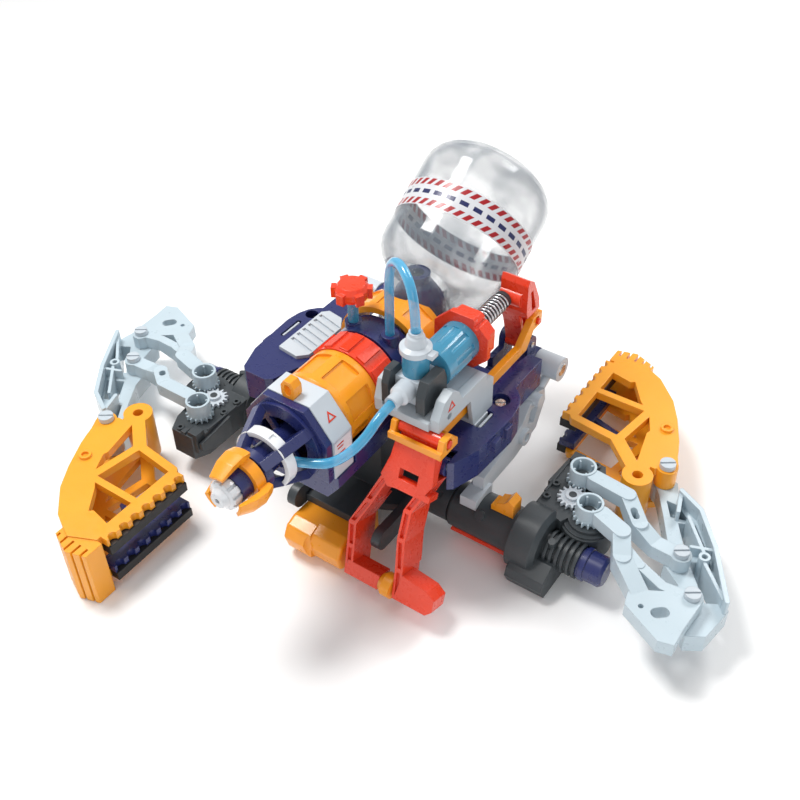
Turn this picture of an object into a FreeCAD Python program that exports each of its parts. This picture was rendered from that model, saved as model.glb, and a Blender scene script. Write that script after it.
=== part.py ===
import FreeCAD, Part
import math
import os

from FreeCAD import Vector

# Hydraulic arm kit: a hand-held water blaster body that carries a claw arm on each side.
# Working frame, mm: the barrel axis is the line x = 0, z = 0 and runs along Y, the nozzle points
# to -Y, +X is the right-hand arm and +Z is up.  GROUND moves it to the ground under the middle.
GROUND = Vector(-1.038, -24.164, -118.0)

# ---- driving dimensions -------------------------------------------------------------------------
FLOOR_Z = -118.0

HOOP_R = 19.0          # hoop of the nozzle cage: outer radius and rear edge
HOOP_BACK = -126.0
CAGE_TURN = 5.0          # rotation of the cage windows
DRUM_R = 26.0            # orange barrel drum
RING_R = 28.0            # knurled ring behind it
WING_TOP = -18.5         # top face of the body's side wings
WING_SPLIT = -30.0       # joint between upper and lower body shells
WING_BOTTOM = -40.0
SHELL = 2.5              # moulded wall thickness

TANK_R = 45.0            # clear bottle
TANK_WALL = 2.0
TANK_TILT = 32.0         # degrees above horizontal
TANK_MID = Vector(0, 72, 38)
TANK_BACK = 52.0         # from the middle to the base
TANK_FRONT = 42.0        # from the middle to the domed end
NECK_Y = 21.0            # upright neck below the bottle

PUMP_X = 51.0            # pump axis, along Y
PUMP_Z = 26.0
PUMP_R = 13.0
VALVE_Y = -50.0          # upright valve in front of the pump

TRIGGER_Y = -63.0        # slope of the trigger frame: y = TRIGGER_Y + TRIGGER_LEAN * (z + 2)
TRIGGER_LEAN = 0.382
TRIGGER_X = 60.0
HINGE = Vector(0, -60.0, -24.0)       # trigger pivot, along X
LEVER_HINGE = Vector(0, 60.0, -17.0)  # rear lever pivot, along X
LEVER_NOSE = 47.4                     # centre of the lever's pressing nose
LINK_ARM = 22.0                       # both pivots to the link rod
PIN_R = 2.0
RUN = 0.08               # radial running clearance
FREE_PIVOT = 0.4         # looser bore of the follower's far pivot

TUBE_Y = -22.0           # arm tube axis, along X
TUBE_Z = -96.0
TUBE_R = 15.5
SPIGOT_R = 12.4          # chassis tube the arm turns on
BORE_R = 9.0             # hydraulic bore inside it
COLLAR_R = 22.0
PORT_X = 13.5            # hose port (right) and filler stub (left) on the yoke
PORT_Y = -28.0
ARM_SHIFT = 4.0          # the left side arm sits this much further back
CENTRE_Y = -20.0         # the left arm is the right arm turned half a turn about x = 0, y = CENTRE_Y
HUB_A = Vector(143, -1, 0)    # drive link hub
HUB_B = Vector(125, 25, 0)    # follower link hub
HOSE_LONG = [(47, -70.1, 22), (47, -84, 22), (45.5, -100, 11.5), (36, -114, 1.5), (23, -119.8, -1),
             (10.5, -124.5, -1.5)]
HOSE_LOOP = [(47, -50, 53), (47, -50, 78.5), (30.25, -39, 90.1), (14.5, -28.7, 78.5), (13.5, -28, 46),
             (13.5, -28, 18)]
LINK = 82.0              # hub to far pivot, both links
SWING = {"right": -17.0, "left": -11.0}  # link angle of each arm at rest, degrees
TRUSS_TO_CLAW = Vector(-54, 86, 0)    # far pivot of the drive link to the claw hinge
CLAW_TO_BOSS = Vector(-13, -17, 0)    # claw hinge to the socket boss

GEAR_TEETH = 15
GEAR_PITCH_R = 8.85
CUP_TOP = -66.0
LINK_TOP = -77.0         # top of the links at the far end
CLAW_TOP = -73.0
CLAW_BOTTOM = -110.0
SOCKET_R = 3.5           # bore of the claw's socket boss
HOSE_R = 2.9


# ---- helpers ------------------------------------------------------------------------------------
def box(x0, x1, y0, y1, z0, z1):
    return Part.makeBox(x1 - x0, y1 - y0, z1 - z0, Vector(x0, y0, z0))


def rod(start, end, r):
    start = Vector(*start)
    run = Vector(*end) - start
    return Part.makeCylinder(r, run.Length, start, run)


def pipe(start, end, r, bore):
    return rod(start, end, r).cut(rod(start, end, bore))


def cone(start, end, r0, r1):
    start = Vector(*start)
    run = Vector(*end) - start
    return Part.makeCone(r0, r1, run.Length, start, run)


def fuse(shapes):
    shapes = list(shapes)
    whole = shapes[0]
    if len(shapes) > 1:
        whole = whole.multiFuse(shapes[1:])
    return whole.removeSplitter()


def cut(shape, tools):
    for tool in tools:
        shape = shape.cut(tool)
    return shape


def prism(outline, z0, z1):
    """Upright prism over an XY outline."""
    points = [Vector(x, y, z0) for x, y in outline]
    face = Part.Face(Part.makePolygon(points + points[:1]))
    return face.extrude(Vector(0, 0, z1 - z0))


def prism_x(outline, x0, x1):
    """Prism along X over a YZ outline."""
    points = [Vector(x0, y, z) for y, z in outline]
    face = Part.Face(Part.makePolygon(points + points[:1]))
    return face.extrude(Vector(x1 - x0, 0, 0))


def prism_y(outline, y0, y1):
    """Prism along Y over an XZ outline."""
    points = [Vector(x, y0, z) for x, z in outline]
    face = Part.Face(Part.makePolygon(points + points[:1]))
    return face.extrude(Vector(0, y1 - y0, 0))


def turned(profile, origin=Vector(0, 0, 0), axis=Vector(0, 1, 0)):
    """Solid of revolution: profile is (radius, distance along the axis)."""
    points = [Vector(r, 0, s) for r, s in profile]
    face = Part.Face(Part.makePolygon(points + points[:1]))
    solid = face.revolve(Vector(0, 0, 0), Vector(0, 0, 1), 360)
    solid.Placement = FreeCAD.Placement(origin, FreeCAD.Rotation(Vector(0, 0, 1), axis))
    return solid


def spun(shape, centre, axis, degrees):
    copy = shape.copy()
    copy.rotate(Vector(*centre), Vector(*axis), degrees)
    return copy


def moved(shape, x, y, z):
    copy = shape.copy()
    copy.translate(Vector(x, y, z))
    return copy


def around(shape, count, centre=(0, 0, 0), axis=(0, 1, 0), first=0.0):
    return [spun(shape, centre, axis, first + 360.0 * i / count) for i in range(count)]


def mirrored(shape):
    """Copy on the other side of the body's middle plane."""
    return shape.mirror(Vector(0, 0, 0), Vector(1, 0, 0))


def slot(centre, length, r, z0, z1, degrees=0.0):
    """Round-ended slot cutter along Z."""
    x, y = centre
    half = length / 2.0 - r
    tool = fuse([box(x - half, x + half, y - r, y + r, z0, z1),
                 rod((x - half, y, z0), (x - half, y, z1), r),
                 rod((x + half, y, z0), (x + half, y, z1), r)])
    return spun(tool, (x, y, 0), (0, 0, 1), degrees)


def bar(start, end, width, low0, high0, low1, high1):
    """Straight link member: a rectangle at start blends into a rectangle at end."""
    run = (Vector(end[0], end[1], 0) - Vector(start[0], start[1], 0)).normalize()
    side = Vector(-run.y, run.x, 0) * (width / 2.0)

    def section(point, low, high):
        centre = Vector(point[0], point[1], 0)
        corners = [centre + side + Vector(0, 0, low), centre - side + Vector(0, 0, low),
                   centre - side + Vector(0, 0, high), centre + side + Vector(0, 0, high)]
        return Part.makePolygon(corners + corners[:1])

    return Part.makeLoft([section(start, low0, high0), section(end, low1, high1)], True, True)


def chain(stations, width):
    """Members joined by round knuckles; stations are (x, y, low, high)."""
    pieces = []
    for here, there in zip(stations, stations[1:]):
        pieces.append(bar(here[:2], there[:2], width, here[2], here[3], there[2], there[3]))
    for x, y, low, high in stations:
        pieces.append(rod((x, y, low), (x, y, high), width / 2.0))
    return fuse(pieces)


def strut(start, end, width, z0, z1):
    return chain([(start[0], start[1], z0, z1), (end[0], end[1], z0, z1)], width)


def slotted_screw(x, y, top, head_r, head_h, shank_r, bottom):
    """Upright round-head screw with a straight slot."""
    head = rod((x, y, top - head_h), (x, y, top), head_r)
    shank = rod((x, y, bottom), (x, y, top - head_h), shank_r)
    groove = box(x - head_r, x + head_r, y - 0.6, y + 0.6, top - 1.0, top + 1)
    return fuse([head, shank]).cut(spun(groove, (x, y, 0), (0, 0, 1), 35))


def tube_path(points):
    """Route of a hose: straight runs joined by tangent arcs.  Returns the wire and the radii."""
    points = [Vector(*p) for p in points]
    edges = []
    radii = []
    start = points[0]
    for before, corner, after in zip(points, points[1:], points[2:]):
        back = (before - corner)
        ahead = (after - corner)
        reach = 0.45 * min(back.Length, ahead.Length)
        half_turn = (math.pi - back.getAngle(ahead)) / 2.0
        first = corner + back.normalize() * reach
        last = corner + ahead.normalize() * reach
        radii.append(reach / math.tan(half_turn))
        bisector = (back + ahead).normalize()
        centre = corner + bisector * (reach / math.sin(half_turn))
        middle = centre - bisector * radii[-1]
        edges.append(Part.LineSegment(start, first).toShape())
        edges.append(Part.Arc(first, middle, last).toShape())
        start = last
    edges.append(Part.LineSegment(start, points[-1]).toShape())
    return Part.Wire(edges), radii


def hose(name, points):
    wire, radii = tube_path(points)
    direction = Vector(*points[1]) - Vector(*points[0])
    outer = Part.Wire(Part.Circle(Vector(*points[0]), direction, HOSE_R).toShape())
    solid = wire.makePipeShell([outer], True, False)
    expected = wire.Length * math.pi * HOSE_R ** 2
    print(name, "length %.1f" % wire.Length, "radii", ["%.1f" % r for r in radii],
          "volume ratio %.3f" % (solid.Volume / expected))
    return solid


# ---- body ---------------------------------------------------------------------------------------
WING_HALF_OUTLINE = [(0, -42), (50, -42), (56, -60), (60, -63), (76, -63), (80, -60), (86, -42),
                     (88, -6), (86.5, 4), (83.5, 11), (79, 16), (76, 18), (76, 52), (66, 52), (64, 36), (48, 30),
                     (0, 30)]


def wing_outline(inset=0.0):
    """Closed outline of the body seen from above, optionally shrunk towards the inside."""
    right = [Vector(x, y, 0) for x, y in WING_HALF_OUTLINE]
    left = [Vector(-v.x, v.y, 0) for v in reversed(right[1:-1])]
    points = right + left
    wire = Part.makePolygon(points + points[:1])
    if inset:
        wire = wire.makeOffset2D(-inset)
    return Part.Face(Part.Wire(wire.Edges))


def slab(face, z0, z1):
    copy = face.copy()
    copy.translate(Vector(0, 0, z0))
    return copy.extrude(Vector(0, 0, z1 - z0))


def yoke_arch():
    """Arched housing behind the knurled ring, where the two hoses enter."""
    arch = rod((0, -37, 0), (0, -18, 0), 27).cut(rod((0, -38, 0), (0, -17, 0), 21))
    arch = arch.cut(box(-40, 40, -40, -10, -60, WING_TOP - 1))
    feet = [box(s * 23.75 - 4.75, s * 23.75 + 4.75, -37, -18, WING_TOP - 1, -6) for s in (-1, 1)]
    feet = [foot.cut(rod((0, -38, 0), (0, -17, 0), 26)) for foot in feet]
    ports = [rod((PORT_X, PORT_Y, 17), (PORT_X, PORT_Y, 27), 5.6),
             rod((-PORT_X, PORT_Y, 15), (-PORT_X, PORT_Y, 26), 5.4)]
    bores = [rod((PORT_X, PORT_Y, 10), (PORT_X, PORT_Y, 30), HOSE_R),
             rod((-PORT_X, PORT_Y, 10), (-PORT_X, PORT_Y, 50), 3.4)]
    return cut(fuse([arch] + feet + ports), bores)


def cap_stem():
    """Clear blue stub tube in the left yoke port, with the ring that the cap turns on."""
    x, y = -PORT_X, PORT_Y
    return fuse([pipe((x, y, 18), (x, y, 48.5), 3.4, 2.2), pipe((x, y, 42.5), (x, y, 48.5), 4.2, 2.2)])


def trigger_bay():
    """Opening in the front of the right wing for the trigger hub."""
    return box(43.4, 76.6, -70, -50.5, -60, 0)


def lever_bay():
    """Opening behind the pump for the rear lever."""
    return box(42, 63, 24, 40, -60, 0)


def body_shell():
    """Upper body shell with both wings and the hose yoke."""
    shell = slab(wing_outline(), WING_SPLIT, WING_TOP)
    shell = shell.cut(slab(wing_outline(SHELL), WING_SPLIT - 1, WING_TOP - SHELL))
    shell = fuse([shell, yoke_arch()])
    tools = [rod((0, -70, 0), (0, -37, 0), RING_R + 1.5),
             rod((0, NECK_Y, -60), (0, NECK_Y, 0), 25.3),
             rod((74, 3, WING_TOP - 4), (74, 3, WING_TOP + 5), 6.0),
             rod((-78, 8, WING_TOP - 9), (-78, 8, WING_TOP + 5), 4.5),
             slot((74, -18), 17, 3.6, WING_TOP - 6, WING_TOP + 5, 90),
             slot((-80, -12), 20, 1.8, WING_TOP - 6, WING_TOP + 5, 90),
             trigger_bay(), lever_bay()]
    shell = cut(shell, tools)
    post = pipe((74, 3, WING_TOP - SHELL - 6), (74, 3, WING_TOP - 2), 7.5, 1.6)
    post = post.cut(rod((74, 3, WING_TOP - 4), (74, 3, WING_TOP), 6.0))
    lugs = [box(85.5, 90, y, y + 7, WING_SPLIT + 1, WING_TOP - 3) for y in (-30, -16)]
    lugs += [box(-90, -85.5, y, y + 7, WING_SPLIT + 1, WING_TOP - 3) for y in (-30, -16)]
    return fuse([shell, post] + lugs)


def trigger_lugs():
    """Two lugs in the trigger bay that carry the trigger pin."""
    lugs = []
    for x in (TRIGGER_X - 13.5, TRIGGER_X + 13.5):
        lug = fuse([rod((x - 2.5, HINGE.y, HINGE.z), (x + 2.5, HINGE.y, HINGE.z), 5.5),
                    box(x - 2.5, x + 2.5, -56.5, -51, -38, HINGE.z),
                    box(x - 2.5, x + 2.5, -57, -39, -38, -31)])
        lugs.append(lug.cut(rod((x - 4, HINGE.y, HINGE.z), (x + 4, HINGE.y, HINGE.z), PIN_R)))
    return lugs


def lever_ears():
    """Two ears behind the right wing that carry the lever pin."""
    ears = []
    for x in (44.4, 61.9):
        ear = fuse([box(x - 2, x + 2, 22, 66, WING_BOTTOM, -31), box(x - 2, x + 2, 40.2, 66, -31, -23),
                    box(x - 2, x + 2, 54, 66, -23, LEVER_HINGE.z),
                    rod((x - 2, LEVER_HINGE.y, LEVER_HINGE.z), (x + 2, LEVER_HINGE.y, LEVER_HINGE.z), 6)])
        ears.append(ear.cut(rod((x - 4, LEVER_HINGE.y, LEVER_HINGE.z),
                                (x + 4, LEVER_HINGE.y, LEVER_HINGE.z), PIN_R)))
    return ears


def knob_lug():
    """Lug beside the right rear corner; the side arm's knob is bolted to it."""
    lug = prism_x([(50, -40), (72, -40), (74, -34), (72, -27), (60, -27), (58.2, -31), (50, -31)], 61, 65.6)
    return fuse([lug, box(61, 70, 42, 57.9, -40, -31)]).cut(rod((60, 67, -34), (70, 67, -34), 2.9))


def body_base():
    """Lower body shell with the barrel housing, trigger lugs and lever ears."""
    base = slab(wing_outline(), WING_BOTTOM, WING_SPLIT)
    base = base.cut(slab(wing_outline(SHELL), WING_BOTTOM + SHELL, WING_SPLIT + 1))
    base = cut(base, [rod((0, NECK_Y, -60), (0, NECK_Y, 0), 25.3), trigger_bay(), lever_bay()])
    section = [(-31, -14), (-31, -28), (-22, WING_BOTTOM), (22, WING_BOTTOM), (31, -28), (31, -14)]
    cradle = prism_y(section, -106, -42)
    cradle = cut(cradle, [rod((0, -113, 0), (0, -37, 0), RING_R + 1.5), box(-40, 40, -107, -88.8, -20.2, 0)])
    pedestal = box(-24, 24, -106, -89, -36, -18).cut(rod((0, -113, 0), (0, -88, 0), 19))
    left_lug = moved(mirrored(knob_lug()), 0, ARM_SHIFT, 0)
    whole = fuse([base, cradle, pedestal, barrel_front(), knob_lug(), left_lug] + trigger_lugs() + lever_ears())
    return whole.cut(rod((55, 67, -34), (70, 67, -34), 2.9))


def saddle_band():
    """Faceted light band that wraps the front of the barrel housing."""
    outer = [(-30, -20), (-30, 8), (-15, 27.5), (15, 27.5), (30, 8), (30, -20)]
    inner = [(-27.3, -21), (-27.3, 7), (-13.8, 25), (13.8, 25), (27.3, 7), (27.3, -21)]
    band = prism_y(outer, -107, -90).cut(prism_y(inner, -108, -88))
    return band.cut(box(-4, 4, -107, -100, 20, 30))


def barrel_front():
    """Faceted navy block inside the saddle band."""
    section = [(-27, -20), (-27, 6.8), (-13.6, 24.7), (13.6, 24.7), (27, 6.8), (27, -20)]
    lip = [(-29.2, -20), (-29.2, 7.7), (-14.6, 26.8), (14.6, 26.8), (29.2, 7.7), (29.2, -20)]
    block = fuse([prism_y(section, -112, -89), prism_y(lip, -112, -107.05)])
    return block.cut(rod((0, -113, 0), (0, -88, 0), 19))


def front_sight():
    """Orange loop sight that stands on the band."""
    loop = prism_y([(-3.95, 24.75), (3.95, 24.75), (3.95, 27.6), (4.6, 29), (4.6, 35), (2.4, 38.5), (-2.4, 38.5),
                    (-4.6, 35), (-4.6, 29), (-3.95, 27.6)], -106.95, -100.05)
    return loop.cut(prism_y([(-1.2, 29), (1.2, 29), (2.4, 31), (2.4, 34), (1.2, 36), (-1.2, 36), (-2.4, 34),
                             (-2.4, 31)], -112, -95))


def barrel_drum():
    """Orange drum with recessed panels, running on the core tube."""
    drum = turned([(9 + RUN, -88.5), (24.5, -88.5), (DRUM_R, -86), (DRUM_R, -57.3), (9 + RUN, -57.3)])
    drum = drum.cut(pipe((0, -84, 0), (0, -58, 0), 22, 12))
    panel = box(-6.5, 6.5, -82, -62, DRUM_R - 2.0, DRUM_R + 3)
    return cut(drum, around(panel, 8, first=22.5))


def drum_ring():
    """Red knurled ring that turns with the drum."""
    ring = turned([(9 + RUN, -57), (RING_R - 1.2, -57), (RING_R - 1.2, -38.5), (RING_R - 2.4, -37.5),
                   (9 + RUN, -37.5)])
    ring = ring.cut(pipe((0, -56, 0), (0, -40, 0), 23, 12))
    rib = box(-3.2, 3.2, -56, -39.5, RING_R - 4, RING_R)
    return fuse([ring] + around(rib, 14))


def nozzle_cage():
    """Navy cage: flange, four bars that run down to the nozzle collar, and the core tube of drum and petals."""
    flange = pipe((0, -114.5, 0), (0, -112, 0), 25.5, 17)
    core = turned([(6, -37.3), (9, -37.3), (9, -137), (13.2, -138.5), (12.5, -143.8), (10, -143.8), (10, -160), (6, -160)])
    bar_side = [(25.5, -112), (25.5, -117), (19, -132), (13.2, -143.8), (9.5, -143.8), (9.5, -139.5), (14.5, -128),
                (20.5, -114.6), (20.5, -112)]
    profile = [Vector(0, y, r) for r, y in bar_side]
    bar_shape = Part.Face(Part.makePolygon(profile + profile[:1])).extrude(Vector(6.4, 0, 0))
    bars = around(moved(bar_shape, -3.2, 0, 0), 4, first=CAGE_TURN + 45)
    spokes = around(box(-2, 2, -114.5, -112, 8.5, 18), 4, first=CAGE_TURN + 45)
    last, before = Vector(*HOSE_LONG[-1]), Vector(*HOSE_LONG[-2])
    inward = (last - before).normalize()
    socket = rod(last - inward * 3.5, last + inward * 3.0, 4.4)
    whole = fuse([flange, core, socket] + spokes + bars)
    seat = turned([(HOOP_R - 3, HOOP_BACK - 7), (HOOP_R, HOOP_BACK - 7), (HOOP_R, HOOP_BACK), (HOOP_R - 3, HOOP_BACK)])
    return cut(whole, [seat, rod(last - inward * 6, last, HOSE_R), rod((0, -161, 0), (0, -37, 0), 6)])


def cage_hoop():
    """White hoop held in the cage bars."""
    hoop = turned([(HOOP_R - 3, HOOP_BACK - 7), (HOOP_R, HOOP_BACK - 7), (HOOP_R, HOOP_BACK), (HOOP_R - 3, HOOP_BACK)])
    notch = box(-1.4, 1.4, HOOP_BACK - 5.5, HOOP_BACK - 1.5, HOOP_R - 0.9, HOOP_R + 2)
    return cut(hoop, around(notch, 4, first=20))


def nozzle_tip():
    """Silver outlet tip with its slotted ring."""
    ring = turned([(6, -167.4), (9.2, -166), (9.8, -163), (9.2, -160.2), (6, -160.2)])
    ring = cut(ring, around(box(-0.9, 0.9, -168, -159, 8.2, 12), 10))
    nose = turned([(1.6, -170.5), (4.6, -170.5), (6.6, -167.4), (6.6, -160.2), (5.9, -160.2), (5.9, -150),
                   (3.0, -150), (3.0, -164), (1.6, -166)])
    return fuse([ring, nose])


def nozzle_petals():
    """Three amber petals on one ring that twists on the nozzle."""
    ring = pipe((0, -152, 0), (0, -145, 0), 13.0, 10 + RUN)
    profile = [(12.6, -151), (12.6, -146), (14.2, -144.2), (17.2, -144.4), (18.6, -150), (17.6, -158), (13.6, -167),
               (11.6, -166.4), (13.2, -159), (14.2, -152)]
    points = [Vector(r, s, 0) for r, s in profile]
    face = Part.Face(Part.makePolygon(points + points[:1]))
    petal = face.revolve(Vector(0, 0, 0), Vector(0, 1, 0), 42)
    petal = spun(petal, (0, 0, 0), (0, 1, 0), -90 - 21)
    return fuse([ring] + around(petal, 3, first=-10))


def fender():
    """Amber mudguard arch between the yoke and the tank neck, scooped out where the tank leans over it."""
    arch = turned([(28.5, -17.7), (32.5, -17.7), (33.2, -12), (33.2, 1), (31.5, 8), (28.5, 8)])
    arch = arch.cut(box(-40, 40, -20, 20, -60, WING_TOP + 0.3))
    slots = [spun(box(-1.6, 1.6, -16, -11, 27, 30.5), (0, 0, 0), (0, 1, 0), a) for a in (-60, -50, -40, 40, 50, 60)]
    panels = [spun(box(-7, 7, -13, 2, 31.6, 40), (0, 0, 0), (0, 1, 0), a) for a in (-34, 0, 34)]
    tank = [bottle(TANK_R + 0.5, TANK_BACK, TANK_FRONT + 0.5, 20),
            rod((0, NECK_Y, -40), (0, NECK_Y, 12), 25.6), rod((0, NECK_Y, 0), (0, NECK_Y, 45), 22)]
    return cut(arch, slots + panels + tank)


def side_grille():
    """Light louvre panel on the left wing."""
    outline = [(-72, -34), (-56, -36), (-50, -30), (-50, 4), (-56, 13), (-68, 15), (-72, 11)]
    plate = prism(outline, WING_TOP, WING_TOP + 2.6)
    cutters = [spun(box(-71, -51, y, y + 2.6, WING_TOP + 1.2, WING_TOP + 4), (-61, y, 0), (0, 0, 1), -14)
               for y in range(-26, 10, 6)]
    return cut(plate, cutters)


# ---- tank ---------------------------------------------------------------------------------------
def tank_axis():
    tilt = math.radians(TANK_TILT)
    return Vector(0, math.cos(tilt), math.sin(tilt))


def bottle(radius, back, front, corner):
    """Plain round-cornered bottle body about the tilted axis."""
    steps = [math.radians(a) for a in range(0, 91, 15)]
    profile = [(0, -back)]
    profile += [(radius - corner + corner * math.sin(a), -back + corner - corner * math.cos(a)) for a in steps]
    profile += [(radius - corner + corner * math.cos(a), front - corner + corner * math.sin(a)) for a in steps]
    profile += [(0, front)]
    return turned(profile, TANK_MID, tank_axis() * -1)


def water_tank():
    """Clear bottle with an upright neck, open underneath."""
    outer = bottle(TANK_R, TANK_BACK, TANK_FRONT, 20)
    foot, up = Vector(0, NECK_Y, 0), Vector(0, 0, 1)
    outer = outer.fuse(turned([(0, 0.5), (21, 0.5), (21, 26), (18, 36), (10, 42), (0, 44)], foot, up))
    inner = bottle(TANK_R - TANK_WALL, TANK_BACK - TANK_WALL, TANK_FRONT - TANK_WALL, 18)
    inner = inner.fuse(turned([(0, 0), (19, 0), (19, 25.6), (16.2, 34.8), (9.2, 40.2), (0, 42)], foot, up))
    return outer.cut(inner)


def tank_intake():
    """Navy cone inside the tank mouth, with the water inlet on top."""
    return turned([(4.5, 38), (8.5, 38), (8.5, 33), (17, 20), (18.6, 13), (18.6, 1), (16.6, 1), (16.6, 12),
                   (15, 18), (6.5, 31), (4.5, 34)], Vector(0, NECK_Y, 0), Vector(0, 0, 1))


def tank_neck():
    """Translucent white neck ring that the tank pushes into."""
    ring = turned([(14, -34), (25, -34), (25, 4), (24, 10), (21 + RUN, 10), (21 + RUN, -16), (14, -16)],
                  Vector(0, NECK_Y, 0), Vector(0, 0, 1))
    return ring.cut(bottle(TANK_R + 0.2, TANK_BACK + 0.2, TANK_FRONT + 0.2, 20))


def filler_cap():
    """Red lugged cap that turns on a stub above the left yoke port."""
    x, y = -PORT_X, PORT_Y
    cap = turned([(0, 44), (9.6, 44), (10.4, 46), (10.4, 50), (8, 53), (0, 53.6)], Vector(x, y, 0), Vector(0, 0, 1))
    lug = box(-2.6, 2.6, 9.6, 12.4, 44, 51)
    cap = fuse([cap] + [moved(s, x, y, 0) for s in around(lug, 6, axis=(0, 0, 1))])
    return cap.cut(rod((x, y, 40), (x, y, 49), 4.2 + RUN))


# ---- pump ---------------------------------------------------------------------------------------
def pump_mount():
    """Grey cradle on the right wing that clamps the valve and the pump cylinder."""
    side = [(-64, 3.5), (-64, 12), (-58, 22), (-50, 25), (-43, 20), (-40, 13), (-12, 12), (-4, 4),
            (-4, WING_TOP), (-26, WING_TOP), (-30, 3.5)]
    right = prism_x(side, 66, 72)
    left = prism_x([(-66, 3.5), (-66, 12), (-62, 24), (-52, 26), (-46, 18), (-44, 3.5)], 28.8, 34)
    floor = prism_x([(-66, 3.5), (-66, 9), (-40, 12), (-12, 12), (-4, 4), (-4, WING_TOP), (-26, WING_TOP),
                     (-30, 3.5)], 28.8, 66)
    tools = [rod((PUMP_X, -45, PUMP_Z), (PUMP_X, 0, PUMP_Z), PUMP_R + 0.05),
             box(38.9, 55.1, -67, -40, 11.9, 40),
             rod((0, -70, 0), (0, 0, 0), RING_R + 1.5),
             rod((0, -18.2, 0), (0, 2, 0), 33.6),
             box(28, 73, -12.2, 2, 6.9, 40),
             box(61, 69, -31, 0, -15, -1),
             rod((62, -53, 9), (80, -53, 9), 2.2)]
    return cut(fuse([right, left, floor]), tools)


def clamp_pads():
    """Two dark rubber jaws that hold the valve."""
    left = prism_x([(-66, 12), (-66, 26), (-63, 34), (-54, 34), (-51, 26), (-51, 12)], 34.2, 38.8)
    right = prism_x([(-64, 12), (-64, 24), (-60, 33), (-44, 33), (-41, 26), (-41, 12)], 56.2, 62.2)
    return Part.makeCompound([left, right])


def valve_tubes():
    """The two clear blue tubes: the valve barrel, and the stub in the left port."""
    barrel = pipe((47, VALVE_Y, 28.8), (47, VALVE_Y, 43.7), 8.0, 5.5)
    return Part.makeCompound([barrel, cap_stem()])


def valve_cap():
    """Grey cap ring with the upright hose nipple."""
    cap = turned([(2, 43.7), (9.4, 43.7), (9.4, 47), (6.4, 48.5), (5.2, 54), (HOSE_R + 1.2, 55), (HOSE_R + 1.2, 57),
                  (HOSE_R, 57), (HOSE_R, 52.9), (2, 52.9)], Vector(47, VALVE_Y, 0), Vector(0, 0, 1))
    return fuse([cap, box(55, 60, VALVE_Y - 3, VALVE_Y + 3, 43.7, 46.4)])


def valve_cross():
    """Grey cross block below the valve with the front hose nipple and the pump port."""
    block = box(39, 55, -59, -40.5, 12, 28.8)
    block = block.cut(rod((47, VALVE_Y, 20), (47, VALVE_Y, 30), 5.5))
    stem = turned([(0, -59), (6.8, -59), (6.2, -67), (4.4, -69), (4.4, -75), (HOSE_R, -75), (HOSE_R, -70), (0, -70)],
                  Vector(47, 0, 22), Vector(0, 1, 0))
    return fuse([block, stem])


def pump_cylinder():
    """Blue clear fluted pump barrel."""
    barrel = rod((PUMP_X, -40, PUMP_Z), (PUMP_X, 0, PUMP_Z), PUMP_R)
    flute = rod((PUMP_X, -32, PUMP_Z + PUMP_R + 2.2), (PUMP_X, -14, PUMP_Z + PUMP_R + 2.2), 3.2)
    barrel = cut(barrel, around(flute, 10, centre=(PUMP_X, 0, PUMP_Z)))
    return barrel.cut(rod((PUMP_X, -38, PUMP_Z), (PUMP_X, 7, PUMP_Z), 9.6))


def pump_collar():
    """Red octagonal collar at the open end of the pump barrel, with a wider front flange."""
    def octagon(radius, y0, y1):
        return prism_y([(PUMP_X + radius * math.cos(math.radians(a)), PUMP_Z + radius * math.sin(math.radians(a)))
                        for a in range(22, 382, 45)], y0, y1)

    collar = fuse([octagon(17.6, -9, 3), octagon(20, -9, -5)])
    collar = cut(collar, [rod((PUMP_X, -10, PUMP_Z), (PUMP_X, 0.1, PUMP_Z), PUMP_R + 0.02),
                          rod((PUMP_X, -1, PUMP_Z), (PUMP_X, 4, PUMP_Z), 5.0),
                          box(30, 72, -10, 10, -20, PUMP_Z - 16.8), box(60, 63, -13, 10, PUMP_Z + 12, PUMP_Z + 24)])
    return collar


def pump_piston():
    """Dark piston and rod, pushed by the rear lever against the spring."""
    head = pipe((PUMP_X, -24, PUMP_Z), (PUMP_X, -14, PUMP_Z), 9.6 - RUN, 7.0).fuse(
        rod((PUMP_X, -24, PUMP_Z), (PUMP_X, -20, PUMP_Z), 9.6 - RUN))
    stem = rod((PUMP_X, -22, PUMP_Z), (PUMP_X, 38, PUMP_Z), 3.6)
    plate = rod((PUMP_X, 38, PUMP_Z), (PUMP_X, 41, PUMP_Z), 5.6)
    return fuse([head, stem, plate])


def return_spring():
    """Coil spring round the pump rod."""
    turns, length, mean_r, wire_r = 11, 32.8, 5.4, 0.75
    helix = Part.makeHelix(length / turns, length, mean_r)
    profile = Part.Wire(Part.Circle(Vector(mean_r, 0, 0), Vector(0, 1, 0), wire_r).toShape())
    coil = Part.Wire(helix).makePipeShell([profile], True, True)
    coil.Placement = FreeCAD.Placement(Vector(PUMP_X, 4.1, PUMP_Z),
                                       FreeCAD.Rotation(Vector(0, 0, 1), Vector(0, 1, 0)))
    return coil


# ---- trigger linkage ----------------------------------------------------------------------------
def leaned(shape):
    """Tilt a flat trigger shape, drawn below its bar, into the frame's slope."""
    placed = moved(shape, 0, TRIGGER_Y, -2)
    return spun(placed, (0, TRIGGER_Y, -2), (1, 0, 0), -math.degrees(math.atan(TRIGGER_LEAN)))


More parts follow.
